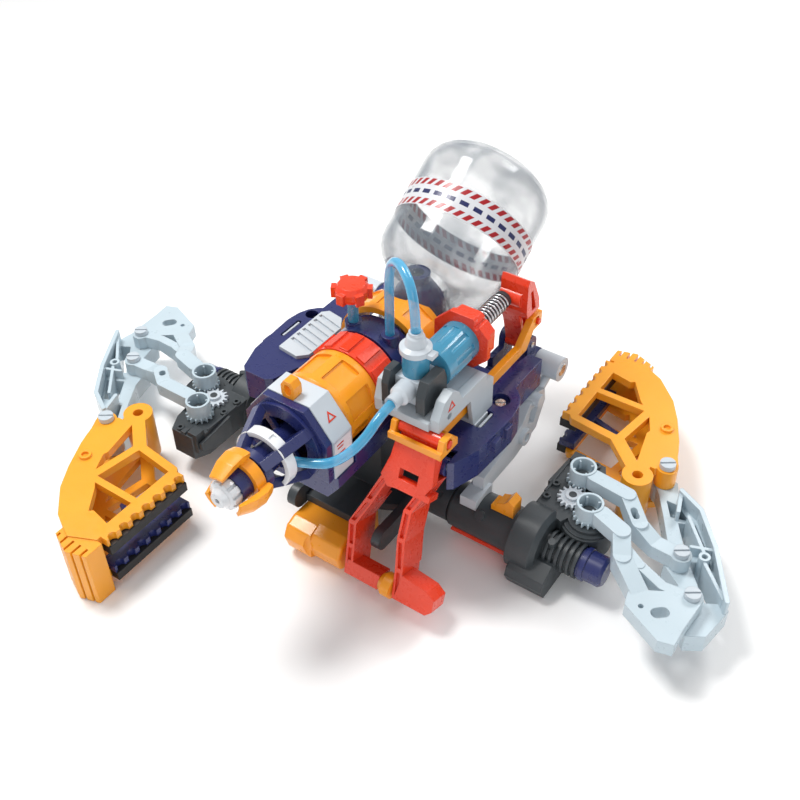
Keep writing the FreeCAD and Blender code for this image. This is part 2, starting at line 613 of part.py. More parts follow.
def trigger_leg(stations):
    """Deep I-section leg through (x, s, depth) stations, s measured down the slope."""
    pieces, grooves = [], []
    for (x0, s0, _), (x1, s1, depth) in zip(stations, stations[1:]):
        pieces.append(prism_y([(x0, s0), (x0 + 5.6, s0), (x1 + 5.6, s1), (x1, s1)], -4, depth))
        grooves.append(prism_y([(x0 + 1.5, s0 - 1.5), (x0 + 4.1, s0 - 1.5), (x1 + 4.1, s1 + 1.5),
                                (x1 + 1.5, s1 + 1.5)], -5, -2))
        grooves.append(prism_y([(x0 + 1.5, s0 - 1.5), (x0 + 4.1, s0 - 1.5), (x1 + 4.1, s1 + 1.5),
                                (x1 + 1.5, s1 + 1.5)], depth - 2, depth + 3))
    return cut(fuse(pieces), grooves)


def trigger_frame():
    """Red wishbone trigger: bar at the top, two legs, crossbar and foot."""
    plate = prism_y([(46, -10), (74, -10), (75, -20), (76.2, -28), (71, -36), (47, -40), (41, -34), (45, -20)], -4, 1.5)
    plate = plate.cut(box(53, 66, -6, 2, -32, -25))
    flange = [box(46, 76, -4, 6, -39, -35), box(46, 49, -4, 5, -34, -12), box(71, 74, -4, 5, -30, -12)]
    left = trigger_leg([(42, -34, 8), (34, -55, 12), (26, -74, 18), (28, -90, 18), (30, -110, 16)])
    right = trigger_leg([(70.4, -26, 8), (61, -50, 12), (61, -70, 18), (64, -90, 18), (66, -110, 16)])
    crossbar = box(31, 55, -4, 8, -110, -100)
    axle = rod((54, 0, -105), (70, 0, -105), 2.2)
    foot = prism_y([(67, -110), (90, -110), (94, -106), (94, -98), (88, -94), (70, -92)], -4, 10)
    frame = leaned(fuse([plate, left, right, crossbar, axle, foot] + flange))
    bar_y, bar_z = TRIGGER_Y, -2
    top = [rod((46.2, bar_y, bar_z), (73.8, bar_y, bar_z), 4.6), rod((41.5, bar_y, bar_z), (79, bar_y, bar_z), 2.4),
           leaned(box(48, 72, -2.5, 2.5, -14, 0))]
    barrel = rod((49.3, HINGE.y, HINGE.z), (70.7, HINGE.y, HINGE.z), 5.0)
    web = box(50, 70, -70, HINGE.y, HINGE.z - 3.5, HINGE.z + 3.5)
    whole = fuse([frame, barrel, web] + top)
    return whole.cut(rod((40, HINGE.y, HINGE.z), (80, HINGE.y, HINGE.z), PIN_R + RUN))


def trigger_roller():
    """Amber tapered bush on the trigger's crossbar."""
    roller = turned([(2.3, 55.3), (5.4, 55.3), (7.8, 58.4), (7.8, 64.6), (2.3, 64.6)], Vector(0, 0, -105), Vector(1, 0, 0))
    return leaned(roller)


def link_rod():
    """Amber link: cheeks round the trigger bar, rod under the pump mount, slotted eye at the lever."""
    cheeks = []
    for x0, x1 in ((42, 45.6), (74.4, 78.4)):
        cheek = prism_x([(-68, -8), (-70, -4), (-68, 3), (-60, 3), (-57, -2), (-57, -8)], x0, x1)
        eye = fuse([rod((x0 - 1, TRIGGER_Y, -3.6), (x1 + 1, TRIGGER_Y, -3.6), 2.6),
                    rod((x0 - 1, TRIGGER_Y, -0.6), (x1 + 1, TRIGGER_Y, -0.6), 2.6),
                    box(x0 - 1, x1 + 1, TRIGGER_Y - 2.6, TRIGGER_Y + 2.6, -3.6, -0.6)])
        cheeks.append(cheek.cut(eye))
    strap = box(42, 78.4, -72.2, -69.6, -8, -3.4)
    joins = [box(x0, x1, -72.2, -67, -8, -4) for x0, x1 in ((42, 45.6), (74.4, 78.4))]
    back = box(42, 78.4, -57.5, -54, -8, -3)
    shaft = box(62.8, 67.2, -55, 40, -11, -4)
    ramp = prism_x([(38, -11), (38, -4), (52, 9.5), (64, 9.5), (64, 0), (54, 0), (46, -11)], 62.8, 67.2)
    pin_y, pin_z = LEVER_HINGE.y - 2, LEVER_HINGE.z + LINK_ARM
    eye = fuse([rod((62, pin_y, pin_z - 1.2), (68, pin_y, pin_z - 1.2), 2.3),
                rod((62, pin_y, pin_z + 1.2), (68, pin_y, pin_z + 1.2), 2.3),
                box(62, 68, pin_y - 2.3, pin_y + 2.3, pin_z - 1.2, pin_z + 1.2)])
    whole = fuse(cheeks + joins + [strap, back, shaft, ramp])
    return whole.cut(eye)


def rear_lever():
    """Red lever: hub below, ribbed web, round nose that presses the pump rod."""
    side = [(56, -20), (66, -17), (65, 0), (60, 22), (52, 38), (46, 42), (44.4, 38), (44.6, 18), (50, 4), (54, -10)]
    lever = prism_x(side, 46.8, 59.5)
    wide = prism_x([(61.8, 13), (60, 22), (52, 38), (46, 42), (44.4, 38), (44.6, 18), (46.4, 13)], 46.8, 66)
    lever = fuse([lever, wide])
    low = [(55, -8), (61, -8), (58, 10), (52, 10)]
    high = [(51.5, 16), (56.5, 16), (51, 32), (48.5, 32)]
    pockets = [prism_x(low, 55, 63), prism_x(high, 58, 68), prism_x(low, 40, 50), prism_x(high, 40, 50)]
    lever = cut(lever, pockets)
    nose = rod((47, LEVER_NOSE, PUMP_Z), (62, LEVER_NOSE, PUMP_Z), 6.0)
    y, z = LEVER_HINGE.y, LEVER_HINGE.z
    hub = rod((46.8, y, z), (59.5, y, z), 5.6)
    pin = rod((58, y - 2, z + LINK_ARM), (69, y - 2, z + LINK_ARM), 2.0)
    return fuse([lever, nose, hub, pin]).cut(rod((30, y, z), (70, y, z), PIN_R + RUN))


# ---- handle and chassis -------------------------------------------------------------------------
def chassis():
    """Dark chassis under the body: column, hand plate with two cheeks, arm sockets."""
    column = box(-20, 20, -50, 26, -90, WING_BOTTOM)
    column = column.cut(box(-15, 15, -45, 21, -86, WING_BOTTOM + 1))
    plate = prism([(-19, -80), (22, -80), (22, -62), (42, -52), (42, -40), (-19, -40)], -90, -84)
    left = fuse([rod((-26, -83, -84), (-19.6, -83, -84), 8), box(-26, -19.6, -83, -40, -92, -78)])
    right = fuse([rod((40, -83, -84), (46, -83, -84), 7.6), box(40, 46, -83, -40, -91.6, -77)])
    bridge = box(18, 46, -52, -30, -91.6, -84)
    hub = box(-36, 36, -36, -4, TUBE_Z - 14, TUBE_Z + 10)
    spigot = rod((34, TUBE_Y, TUBE_Z), (112, TUBE_Y, TUBE_Z), SPIGOT_R)
    collar = rod((34, TUBE_Y, TUBE_Z), (60, TUBE_Y, TUBE_Z), 14.2)
    collar = cut(collar, [spun(box(44, 54, TUBE_Y - 2, TUBE_Y + 2, TUBE_Z + 13, TUBE_Z + 16), (0, TUBE_Y, TUBE_Z),
                               (1, 0, 0), a) for a in (-40, 0, 40)])
    bore = rod((40, TUBE_Y, TUBE_Z), (113, TUBE_Y, TUBE_Z), BORE_R)
    whole = fuse([column, plate, left, right, bridge, hub, spigot, collar, turn_left(spigot), turn_left(collar)])
    return cut(whole, [bore, turn_left(bore)])


def hand_grip():
    """Amber hand grip: two rounded lobes with a crease between them."""
    side = [(-106, -101), (-102, -93), (-94, -90.2), (-60, -90.2), (-60, -110), (-66, FLOOR_Z), (-94, FLOOR_Z),
            (-103, -112)]
    small = [(y + 2.5 if y < -90 else y, z) for y, z in side]
    lobes = [prism_x(side, -19.4, 0.5), prism_x(small, 0.5, 23.5)]
    rounded = []
    for lobe, edge_x in zip(lobes, (-19.4, 23.5)):
        edges = [e for e in lobe.Edges if e.BoundBox.XLength > 15 and e.BoundBox.YMax < -90]
        edges += [e for e in lobe.Edges if e.BoundBox.XLength < 0.01 and abs(e.BoundBox.XMin - edge_x) < 0.01
                  and e.BoundBox.YMin < -90]
        rounded.append(lobe.makeFillet(2.6, edges))
    grooves = [rod((0.5, -107.2, -125), (0.5, -104.2, -88), 3.2), rod((0.5, -110, -118.5), (0.5, -60, -118.5), 2.0)]
    return cut(fuse(rounded), grooves + [box(-16, 20, -96, -64, -114, -94)])


def side_arm():
    """Light strut from the rear knob down to the arm tube, right side."""
    arm = prism_x([(36, -46), (48, -42), (56, -45), (58, -56), (48, -74), (20, -80), (-14, -79.9), (-20, -76),
                   (-20, -66), (8, -62), (28, -56)], 70, 78)
    cuts = [rod((68, 30, -68), (80, 30, -68), 3.2), prism_x([(38, -52), (50, -52), (44, -66), (36, -62)], 69, 79)]
    ring = pipe((78, 30, -68), (81, 30, -68), 6, 3.2)
    saddle = box(68, 80, -32, -12, -86, -76).cut(rod((60, TUBE_Y, TUBE_Z), (90, TUBE_Y, TUBE_Z), TUBE_R))
    stem = rod((74, 66, -42), (74, 50, -50), 3.2)
    knob = rod((66, 67, -34), (84, 67, -34), 8.4)
    lug = rod((68, 44, -46), (82, 44, -46), 4.6)
    whole = fuse([cut(arm, cuts), ring, saddle, stem, knob, lug])
    return whole.cut(rod((60, 67, -34), (90, 67, -34), 2.9))


def left_copy(shape):
    """Left side-arm part: mirrored and set back to meet the left tube."""
    return moved(mirrored(shape), 0, ARM_SHIFT, 0)


def side_arms():
    return Part.makeCompound([side_arm(), left_copy(side_arm())])


def body_fasteners():
    """Wing screw, knob bolts, and the steel pins of trigger and lever."""
    screw = slotted_screw(74, 3, WING_TOP - 2.2, 3.4, 1.8, 1.6, WING_TOP - 8.5)
    bolt = fuse([rod((61, 67, -34), (84, 67, -34), 2.9), cone((84, 67, -34), (84.6, 67, -34), 4.6, 3.8)])
    trigger = rod((43.6, HINGE.y, HINGE.z), (76.4, HINGE.y, HINGE.z), PIN_R)
    lever = rod((41.5, LEVER_HINGE.y, LEVER_HINGE.z), (64.6, LEVER_HINGE.y, LEVER_HINGE.z), PIN_R)
    return Part.makeCompound([screw, bolt, left_copy(bolt), trigger, lever])


def tube_clips():
    """Amber latch clips on the arm tubes."""
    base = box(88, 104, TUBE_Y - 5, TUBE_Y + 5, TUBE_Z + TUBE_R - 1.5, TUBE_Z + TUBE_R + 3)
    base = base.cut(rod((80, TUBE_Y, TUBE_Z), (110, TUBE_Y, TUBE_Z), TUBE_R))
    hook = prism_y([(90, -79), (104, -79), (104, -71), (100, -68), (97, -72), (92, -74)], TUBE_Y - 5, TUBE_Y + 5)
    clip = fuse([base, hook])
    return Part.makeCompound([clip, turn_left(clip)])


# ---- arms, drawn for the right side -------------------------------------------------------------
def turn_left(shape):
    """The left arm is the right arm turned half a turn about the centre."""
    return spun(shape, (0, CENTRE_Y, 0), (0, 0, 1), 180)


def arm_tube():
    """Dark outer tube of an arm."""
    tube = pipe((62, TUBE_Y, TUBE_Z), (107.6, TUBE_Y, TUBE_Z), TUBE_R, SPIGOT_R)
    boss = rod((84, TUBE_Y - 9, TUBE_Z + 9), (84, TUBE_Y - 13, TUBE_Z + 13), 3.4)
    rail = prism_x([(TUBE_Y - 6, TUBE_Z - 17.5), (TUBE_Y + 6, TUBE_Z - 17.5), (TUBE_Y + 6, TUBE_Z - 13),
                    (TUBE_Y - 6, TUBE_Z - 13)], 64, 106)
    core = rod((60, TUBE_Y, TUBE_Z), (110, TUBE_Y, TUBE_Z), SPIGOT_R)
    return fuse([tube, boss.cut(core), rail.cut(core)])


def arm_piston():
    """Hydraulic piston inside an arm tube, with its rod to the gearbox."""
    head = rod((70, TUBE_Y, TUBE_Z), (80, TUBE_Y, TUBE_Z), BORE_R - RUN)
    head = head.cut(pipe((73.5, TUBE_Y, TUBE_Z), (76.5, TUBE_Y, TUBE_Z), 9.5, 7.6))
    return fuse([head, rod((78, TUBE_Y, TUBE_Z), (138, TUBE_Y, TUBE_Z), 3.0)])


def gearbox():
    """Dark swivel housing: collar round the tube end, ribbed barrel and the deck that carries the links."""
    collar = fuse([rod((108, TUBE_Y, TUBE_Z), (124, TUBE_Y, TUBE_Z), COLLAR_R),
                   cone((124, TUBE_Y, TUBE_Z), (127, TUBE_Y, TUBE_Z), COLLAR_R, 18)])
    foot = prism_x([(TUBE_Y - 27, -108), (TUBE_Y - 22, FLOOR_Z), (TUBE_Y + 10, FLOOR_Z), (TUBE_Y + 10, -100),
                    (TUBE_Y - 14, -96), (TUBE_Y - 25, -102)], 112, 138)
    barrel = rod((126, TUBE_Y, TUBE_Z), (151, TUBE_Y, TUBE_Z), 9.6)
    ribs = [rod((x, TUBE_Y, TUBE_Z), (x + 2, TUBE_Y, TUBE_Z), 11.6) for x in range(129, 151, 4)]
    post = rod((133, TUBE_Y - 5, TUBE_Z + 6), (133, TUBE_Y - 7, TUBE_Z + 14), 2.6)
    deck = prism([(109, -6), (109, 36), (114, 46), (132, 46), (138, 34), (141, 12), (130, -13)], -100, -80.3)
    x, y = HUB_A.x, HUB_A.y
    drum = fuse([rod((x, y, -104), (x, y, -80.3), 12.6), rod((x, y, -100), (x, y, -84), 16.5),
                 cone((x, y, -104), (x, y, -100), 13.5, 16.5), pipe((x, y, -85), (x, y, -82.6), 15.2, 12)])
    lump = box(110, 118, 37, 45, -94, -77)
    studs = [pipe((a, b, -81), (a, b, -78.4), 2.8, 1.3) for a, b in ((112.5, 1), (112.5, 14), (127, 42.4))]
    ledges = [box(109, 110.6, 4, 34, -86, -78.8), box(120, 124, 40.5, 45.6, -82, -78.6)]
    cheek = prism_x([(14, -80.3), (14, -97), (30, -97), (44, -90), (44, -84)], 106.6, 109.4)
    whole = fuse([collar, foot, barrel, post, deck, drum, lump, cheek] + ribs + studs + ledges)
    whole = cut(whole, [rod((151, TUBE_Y, TUBE_Z), (175, TUBE_Y, TUBE_Z), 11.05),
                        rod((107, TUBE_Y, TUBE_Z), (113, TUBE_Y, TUBE_Z), SPIGOT_R + RUN),
                        rod((112, TUBE_Y, TUBE_Z), (143, TUBE_Y, TUBE_Z), 3.0 + RUN)])
    posts = [slotted_screw(hub.x, hub.y, -73.4, 4.4, 2.2, 3.0, -84) for hub in (HUB_A, HUB_B)]
    spot = idler_spot()
    posts.append(rod((spot.x, spot.y, -84), (spot.x, spot.y, -75.0), 2.4))
    return fuse([whole] + posts)


def idler_spot():
    """Centre of the idler: one gear diameter from both hubs, on the body side."""
    middle = (HUB_A + HUB_B) * 0.5
    along = HUB_B - HUB_A
    half = along.Length / 2.0
    side = Vector(-along.y, along.x, 0).normalize()
    reach = math.sqrt((2 * GEAR_PITCH_R) ** 2 - half ** 2)
    return middle + side * reach


def cylinder_cap():
    """Navy end cap of the hydraulic cylinder."""
    return fuse([rod((151, TUBE_Y, TUBE_Z), (166, TUBE_Y, TUBE_Z), 10.0),
                 cone((166, TUBE_Y, TUBE_Z), (168, TUBE_Y, TUBE_Z), 10.0, 8.4),
                 pipe((153, TUBE_Y, TUBE_Z), (156, TUBE_Y, TUBE_Z), 11.0, 9)])


def gear(centre, z0, z1, bore, phase):
    """Spur gear with trapezoidal teeth and generous backlash."""
    module = 2 * GEAR_PITCH_R / GEAR_TEETH
    root, tip = GEAR_PITCH_R - 1.2 * module, GEAR_PITCH_R + 0.85 * module
    step = 2 * math.pi / GEAR_TEETH
    points = []
    for i in range(GEAR_TEETH):
        for offset, radius in ((-0.30, root), (-0.10, tip), (0.10, tip), (0.30, root)):
            angle = phase + (i + offset) * step
            points.append((centre.x + radius * math.cos(angle), centre.y + radius * math.sin(angle)))
    return prism(points, z0, z1).cut(rod((centre.x, centre.y, z0 - 1), (centre.x, centre.y, z1 + 1), bore))


def idler_gear():
    """Light idler gear between the two hubs."""
    spot = idler_spot()
    step = 2 * math.pi / GEAR_TEETH
    phase = math.atan2(HUB_A.y - spot.y, HUB_A.x - spot.x) + step / 2
    body = gear(spot, -80.0, -77.4, 2.4 + RUN, phase)
    return fuse([body, pipe((spot.x, spot.y, -80.0), (spot.x, spot.y, -75.4), 4.6, 2.4 + RUN)])


def hub_cup(hub, phase):
    """Cup hub with four inner ribs over its gear."""
    x, y = hub.x, hub.y
    cup = fuse([rod((x, y, -77.0), (x, y, CUP_TOP), 8.5), gear(hub, -80.0, -76.6, 2.0, phase)])
    cup = cup.cut(rod((x, y, -76.0), (x, y, CUP_TOP + 1), 6.9))
    rib = box(-0.6, 0.6, 5.2, 7.2, -76.2, CUP_TOP - 1.0)
    ribs = [moved(turned_rib, x, y, 0) for turned_rib in around(rib, 4, axis=(0, 0, 1), first=45)]
    return fuse([cup] + ribs).cut(rod((x, y, -82), (x, y, -75), 3.0 + RUN))


def link_point(hub, along, across, swing):
    """Point of a link, given along and across its hub-to-pivot line."""
    angle = math.radians(swing)
    return Vector(hub.x + along * math.cos(angle) - across * math.sin(angle),
                  hub.y + along * math.sin(angle) + across * math.cos(angle), 0)


def link_body(hub, swing, stations, width):
    placed = []
    for along, across, low, high in stations:
        point = link_point(hub, along, across, swing)
        placed.append((point.x, point.y, low, high))
    return chain(placed, width)


def drive_link(swing):
    """Front link with its elbow block."""
    spot = idler_spot()
    cup = hub_cup(HUB_A, math.atan2(spot.y - HUB_A.y, spot.x - HUB_A.x))
    body = link_body(HUB_A, swing, [(10, 0, -76.3, -66.6), (27, -1, -76.3, -66.6), (38, -12, -85, -71.6),
                                    (61, -21, -87, LINK_TOP)], 11)
    branch = link_body(HUB_A, swing, [(31, -5, -84, -71), (48, -7.5, -86.5, -74), (66, -7, -87, LINK_TOP),
                                      (80, -1, -87, LINK_TOP)], 6.5)
    corners = [link_point(HUB_A, a, c, swing)
               for a, c in [(55, -24), (61, -34), (90, -39), (98, -34), (94, -22), (88, 3), (84, 6.5), (78, 6),
                            (74, -4), (64, -15)]]
    block = prism([(p.x, p.y) for p in corners], -87, LINK_TOP)
    pivot = link_point(HUB_A, LINK, 0, swing)
    hole = link_point(HUB_A, 78, -23, swing)
    screw_hole = link_point(HUB_A, 68, -28, swing)
    whole = fuse([cup, body.cut(rod((HUB_A.x, HUB_A.y, -90), (HUB_A.x, HUB_A.y, -60), 8.0)), branch, block,
                  rod((pivot.x, pivot.y, -87), (pivot.x, pivot.y, LINK_TOP), 6.5)])
    return cut(whole, [slot((hole.x, hole.y), 11, 3.6, -90, -70, swing + 60),
                       rod((screw_hole.x, screw_hole.y, -80), (screw_hole.x, screw_hole.y, -70), 1.6),
                       rod((pivot.x, pivot.y, -90), (pivot.x, pivot.y, -70), 2.6 + RUN)])


def follower_link(swing):
    """Rear link of the parallelogram with an oval eye."""
    spot = idler_spot()
    towards_a = math.atan2(HUB_A.y - spot.y, HUB_A.x - spot.x)
    towards_b = math.atan2(HUB_B.y - spot.y, HUB_B.x - spot.x)
    cup = hub_cup(HUB_B, 2 * towards_b - towards_a + math.pi)
    body = link_body(HUB_B, swing, [(10, 0, -76.3, -66.6), (34, 4.5, -76.3, -66.6), (52, -4, -85, -71.6),
                                    (66, -4, -87, LINK_TOP), (82, 0, -87, LINK_TOP)], 10)
    pivot = link_point(HUB_B, LINK, 0, swing)
    eye = link_point(HUB_B, 46, -2, swing)
    whole = fuse([cup, body.cut(rod((HUB_B.x, HUB_B.y, -90), (HUB_B.x, HUB_B.y, -60), 8.0)),
                  rod((pivot.x, pivot.y, -87), (pivot.x, pivot.y, LINK_TOP), 6.5)])
    return cut(whole, [slot((eye.x, eye.y), 8, 2.2, -90, -60, swing - 27),
                       rod((pivot.x, pivot.y, -90), (pivot.x, pivot.y, -70), 2.6 + FREE_PIVOT)])


TRUSS_OUTLINE = [(6, -20), (16, -14), (20, 10), (-2, 44), (-22, 68), (-40, 78), (-46, 90), (-58, 94), (-62, 86),
                 (-52, 74), (-42, 58), (-30, 38), (-26, 22), (-12, 12), (-8, -6)]


def elbow_truss(swing):
    """Light lattice that joins the two links and carries the claw."""
    far = link_point(HUB_A, LINK, 0, swing)
    near = link_point(HUB_B, LINK, 0, swing) - far

    def placed(outline):
        return [(far.x + x, far.y + y) for x, y in outline]

    plate = prism(placed(TRUSS_OUTLINE), -101, -87.4)
    windows = [[(6, 8), (13, 12), (-3, 38), (-14, 32)], [(-20, 40), (-8, 46), (-22, 62), (-32, 58)]]
    for window in windows:
        plate = plate.cut(prism(placed(window), -110, -80))
    recess = prism(placed([(-27, 63), (-38, 72), (-46, 72), (-38, 60)]), -97, -87)
    plate = plate.cut(recess)
    rim = [((18, 8), (-3, 43)), ((-3, 43), (-22, 67)), ((-22, 67), (-39, 76))]
    walls = [strut((far.x + a[0], far.y + a[1]), (far.x + b[0], far.y + b[1]), 3.0, -101, -77) for a, b in rim]
    inner = [strut((far.x - 39, far.y + 76), (far.x - 34, far.y + 60), 2.6, -101, -79),
             strut((far.x + 15, far.y + 11), (far.x - 4, far.y + 30), 2.2, -101, -80),
             strut((far.x - 8, far.y + 38), (far.x - 27, far.y + 60), 2.2, -101, -80),
             strut((far.x - 3, far.y + 43), (far.x - 16, far.y + 38), 2.2, -101, -80)]
    bosses = [rod((far.x + x, far.y + y, -101), (far.x + x, far.y + y, -87.2), 7.2) for x, y in ((0, 0), (near.x, near.y))]
    eyelet = rod((far.x - 6, far.y + 34, -101), (far.x - 6, far.y + 34, -79), 3.6)
    claw = far + TRUSS_TO_CLAW
    lug = rod((claw.x, claw.y, -101), (claw.x, claw.y, -89), 7.5)
    truss = fuse([plate, eyelet, lug] + inner + walls + bosses)
    holes = [rod((x, y, -102), (x, y, -80), 2.6)
             for x, y in ((far.x, far.y), (far.x + near.x, far.y + near.y), (claw.x, claw.y))]
    holes.append(rod((far.x - 6, far.y + 34, -90), (far.x - 6, far.y + 34, -70), 1.8))
    return cut(truss, holes)


def arm_screws(swing):
    """Slotted shoulder screws of the two far pivots and of the claw hinge."""
    far = link_point(HUB_A, LINK, 0, swing)
    near = link_point(HUB_B, LINK, 0, swing)
    claw = far + TRUSS_TO_CLAW
    screws = [slotted_screw(p.x, p.y, -73.4, 4.8, 3.4, 2.6, -100.5) for p in (far, near)]
    screws.append(slotted_screw(claw.x, claw.y, -69.2, 5.2, 3.6, 2.6, -100.5))
    return Part.makeCompound(screws)


def claw_place(swing):
    """Point on the claw given relative to its hinge."""
    hinge = link_point(HUB_A, LINK, 0, swing) + TRUSS_TO_CLAW

    def at(x, y):
        return (hinge.x + x, hinge.y + y)

    return at


def claw_frame(swing):
    """Amber claw: two truss plates, outer spine, socket boss and ribbed knuckle."""
    at = claw_place(swing)
    boss = at(CLAW_TO_BOSS.x, CLAW_TO_BOSS.y)
    members = [((-13, -17), (-38, 6), 9.0), ((-38, 6), (-72, 10), 6.0), ((-38, 6), (-32, 44), 6.0),
               ((-33, 44), (-70, 44), 5.0), ((-73.5, 11), (-73.5, 77), 5.0), ((-13, -10), (-20, 22), 9.0)]
    crown = [at(-22, 14), at(-14, -6), at(-6, -6), at(5, 3), at(0, 18), at(-3, 26), at(-13, 46), at(-23, 62),
             at(-40, 79), at(-58, 88), at(-66, 82), at(-55, 68), at(-42, 50), at(-30, 38), at(-24, 26)]
    brow = [at(-76, 80), at(-76, 68), at(-56, 64), at(-46, 74), at(-58, 88)]
    pieces = []
    for z0, z1 in ((CLAW_TOP - 6, CLAW_TOP), (CLAW_BOTTOM, CLAW_BOTTOM + 5.5)):
        pieces += [prism(crown, z0, z1), prism(brow, z0, z1)]
        pieces += [strut(at(*a), at(*b), width, z0, z1) for a, b, width in members]
    spine = prism([at(-8, 24), at(-3, 26), at(-13, 46), at(-23, 62), at(-40, 79), at(-58, 88), at(-60, 84),
                   at(-43, 75), at(-28, 59), at(-18, 43)], CLAW_BOTTOM, CLAW_TOP)
    teeth = jaw(swing, -81.4, -74, CLAW_TOP - 6, CLAW_TOP, 7)
    hinge = at(0, 0)
    tab = [rod(hinge + (-87,), hinge + (CLAW_TOP,), 7.0),
           prism([at(-7, -4), at(6, 4), at(-4, 24), at(-16, 20)], CLAW_TOP - 6, CLAW_TOP)]
    knuckle = prism([at(-80, 80), at(-80, 93), at(-66, 97), at(-50, 90), at(-50, 80)], FLOOR_Z, CLAW_TOP - 1)
    grooves = [prism([at(-77 + 6 * i, 100), at(-75.4 + 6 * i, 100), at(-75.4 + 6 * i, 88), at(-77 + 6 * i, 88)],
                     FLOOR_Z - 1, -60) for i in range(5)]
    button = pipe(at(-15, 33) + (CLAW_TOP - 1,), at(-15, 33) + (CLAW_TOP + 1.8,), 4.2, 2.4)
    whole = fuse(pieces + tab + [spine, teeth, cut(knuckle, grooves), rod(boss + (-110,), boss + (CLAW_TOP,), 10.0), button])
    return cut(whole, [rod(boss + (-111,), boss + (-70,), SOCKET_R), rod(hinge + (-90,), hinge + (-70,), 2.6 + RUN)])


def jaw(swing, x0, x1, z0, z1, bites):
    """Straight jaw bar; bites are scooped from its gripping side."""
    at = claw_place(swing)
    left, front = at(x0, 10)
    shape = box(left, left + x1 - x0, front, front + 67, z0, z1)
    scoops = [rod((left, front + 4.6 + 9.6 * i, z0 - 1), (left, front + 4.6 + 9.6 * i, z1 + 1), 3.0) for i in range(bites)]
    return cut(shape, scoops)


def claw_bar(swing):
    """Navy lower jaw bar between claw plates, with its foot struts."""
    at = claw_place(swing)
    bar_shape = jaw(swing, -81.4, -70, -103.5, -98, 7)
    legs = [rod(at(-73, y) + (-104.5,), at(-73, y) + (-103.0,), 2.6) for y in (14, 72)]
    web = strut(at(-73, 44), at(-46, 36), 4.0, -103.5, -99)
    return fuse([bar_shape, web] + legs)


def claw_pads(swing):
    """Black rubber slabs under the upper and lower rows of teeth."""
    upper = jaw(swing, -82.6, -70.5, CLAW_TOP - 13, CLAW_TOP - 6.05, 0)
    lower = jaw(swing, -82.6, -76.1, CLAW_BOTTOM, -103.55, 0)
    return Part.makeCompound([upper, lower])


# ---- export -------------------------------------------------------------------------------------
def grounded(shape):
    return moved(shape, -GROUND.x, -GROUND.y, -GROUND.z)


def main():
    os.makedirs("parts", exist_ok=True)
    single = {
        "body_shell": body_shell(), "body_base": body_base(), "saddle_band": saddle_band(),
        "barrel_drum": barrel_drum(), "drum_ring": drum_ring(), "fender": fender(),
        "nozzle_cage": nozzle_cage(), "cage_hoop": cage_hoop(), "nozzle_tip": nozzle_tip(),
        "nozzle_petals": nozzle_petals(), "front_sight": front_sight(), "side_grille": side_grille(),
        "water_tank": water_tank(), "tank_intake": tank_intake(), "tank_neck": tank_neck(),
        "filler_cap": filler_cap(), "pump_mount": pump_mount(), "clamp_pads": clamp_pads(),
        "valve_tubes": valve_tubes(), "valve_cap": valve_cap(), "valve_cross": valve_cross(),
        "pump_cylinder": pump_cylinder(), "pump_collar": pump_collar(), "pump_piston": pump_piston(),
        "return_spring": return_spring(), "rear_lever": rear_lever(), "link_rod": link_rod(),
        "hose_long": hose("hose_long", HOSE_LONG), "hose_loop": hose("hose_loop", HOSE_LOOP),
        "trigger_frame": trigger_frame(), "trigger_roller": trigger_roller(),
        "body_fasteners": body_fasteners(), "chassis": chassis(), "hand_grip": hand_grip(),
        "side_arms": side_arms(), "tube_clips": tube_clips(),
    }
    per_arm = {
        "arm_tube": lambda swing: arm_tube(), "arm_piston": lambda swing: arm_piston(),
        "gearbox": lambda swing: gearbox(), "cylinder_cap": lambda swing: cylinder_cap(),
        "idler_gear": lambda swing: idler_gear(), "drive_link": drive_link, "follower_link": follower_link,
        "elbow_truss": elbow_truss, "arm_screws": arm_screws, "claw_frame": claw_frame, "claw_bar": claw_bar,
        "claw_pads": claw_pads,
    }
    for name, make in per_arm.items():
        single[name + "_right"] = make(SWING["right"])
        single[name + "_left"] = turn_left(make(SWING["left"]))
    for name, shape in single.items():
        grounded(shape).exportStep("parts/%s.step" % name)
        print("%-22s solids %d valid %s volume %.0f" % (name, len(shape.Solids), shape.isValid(), shape.Volume))


main()
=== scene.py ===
import math

import bmesh
import bpy
from mathutils import Matrix, Vector


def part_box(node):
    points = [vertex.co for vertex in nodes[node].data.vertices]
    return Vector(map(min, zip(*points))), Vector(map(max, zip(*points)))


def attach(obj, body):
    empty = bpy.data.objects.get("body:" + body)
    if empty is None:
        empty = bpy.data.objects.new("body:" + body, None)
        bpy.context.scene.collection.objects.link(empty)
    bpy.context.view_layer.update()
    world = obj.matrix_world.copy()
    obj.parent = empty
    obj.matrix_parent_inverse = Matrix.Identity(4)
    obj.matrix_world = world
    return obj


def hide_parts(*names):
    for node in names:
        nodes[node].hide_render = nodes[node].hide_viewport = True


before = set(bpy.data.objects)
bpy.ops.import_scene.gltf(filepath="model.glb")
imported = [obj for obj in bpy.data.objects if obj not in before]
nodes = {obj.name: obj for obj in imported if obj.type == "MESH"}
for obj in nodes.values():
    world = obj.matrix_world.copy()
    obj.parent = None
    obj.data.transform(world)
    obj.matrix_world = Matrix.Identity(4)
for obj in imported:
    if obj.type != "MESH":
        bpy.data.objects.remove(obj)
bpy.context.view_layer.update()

# ---- the barrel axis, which the millimetre positions below are measured from ---------------------
ring_low, ring_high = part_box("drum_ring")
AXIS = Vector(((ring_low[0] + ring_high[0]) / 2, ring_high[1] + 0.0375, (ring_low[2] + ring_high[2]) / 2))

